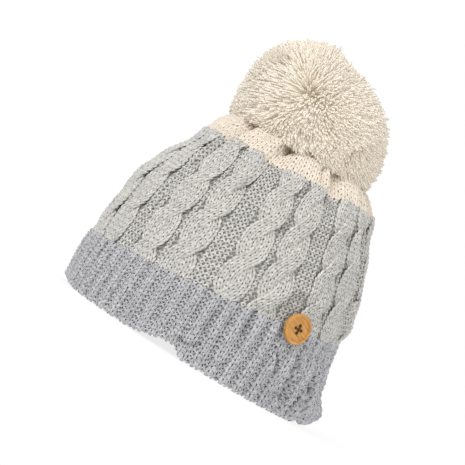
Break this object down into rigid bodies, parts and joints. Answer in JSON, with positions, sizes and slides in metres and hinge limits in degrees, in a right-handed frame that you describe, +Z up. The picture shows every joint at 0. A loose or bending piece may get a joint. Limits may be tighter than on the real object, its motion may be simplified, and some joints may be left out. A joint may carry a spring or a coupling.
{
  "type": "pom pom beanie",
  "caption": "Cable-knit beanie with a ribbed cuff, gathered crown, large yarn pompom and a round wooden button on the cuff.",
  "frame": {"origin": "centre of the brim, at the height of its lowest edge", "axes": "+Z up through the crown and the pompom, -Y towards the wearer's front, +X towards the wearer's left"},
  "size_m": [0.182, 0.182, 0.22],
  "materials": {
    "grey_rib_yarn": "soft heathered yarn",
    "pale_grey_cable_yarn": "soft heathered yarn",
    "cream_crown_yarn": "soft matte yarn",
    "cream_tie_yarn": "twisted matte yarn",
    "pompom_yarn": "fluffy cut yarn",
    "brown_thread": "waxed thread",
    "button_wood": "satin turned wood",
    "white_satin_tape": "satin woven tape",
    "white_thread": "sewing thread"
  },
  "bodies": {
    "cap": {"rib_cuff": "grey_rib_yarn", "cable_body": "pale_grey_cable_yarn", "crown_knit": "cream_crown_yarn", "gather_yarn": "cream_crown_yarn", "back_seam": "pale_grey_cable_yarn", "button_anchor": "brown_thread", "label_stitches": "white_thread"},
    "pompom_tie": {"tie_tails": "cream_tie_yarn", "tie_knot": "cream_tie_yarn"},
    "pompom": {"pompom_core": "pompom_yarn", "pompom_yarn": "pompom_yarn"},
    "shank": {"button_shank": "brown_thread"},
    "button": {"wooden_button": "button_wood", "button_thread": "brown_thread"},
    "label": {"care_label": "white_satin_tape"}
  },
  "joints": [
    {"name": "pompom_twist", "type": "hinge", "parent": "cap", "child": "pompom_tie", "pos_m": [0, 0, 0.16], "axis": [0, 0, 1], "range_deg": [-90, 90], "stiffness_Nm_per_rad": 0.004},
    {"name": "pompom_sway", "type": "hinge", "parent": "pompom_tie", "child": "pompom", "pos_m": [0, 0, 0.16], "axis": [0, 1, 0], "range_deg": [-10, 10], "stiffness_Nm_per_rad": 0.15},
    {"name": "button_tilt", "type": "hinge", "parent": "cap", "child": "shank", "pos_m": [0.05381, -0.0714, 0.0546], "axis": [0.7986, 0.6018, 0], "range_deg": [-10, 10], "stiffness_Nm_per_rad": 0.002},
    {"name": "button_spin", "type": "hinge", "parent": "shank", "child": "button", "pos_m": [0.05381, -0.0714, 0.0546], "axis": [0.5981, -0.7937, 0.1112], "range_deg": [-30, 30], "stiffness_Nm_per_rad": 0.0005},
    {"name": "label_flap", "type": "hinge", "parent": "cap", "child": "label", "pos_m": [0.02153, 0.08035, 0.049], "axis": [-0.9659, 0.2588, 0], "range_deg": [0, 110]}
  ]
}
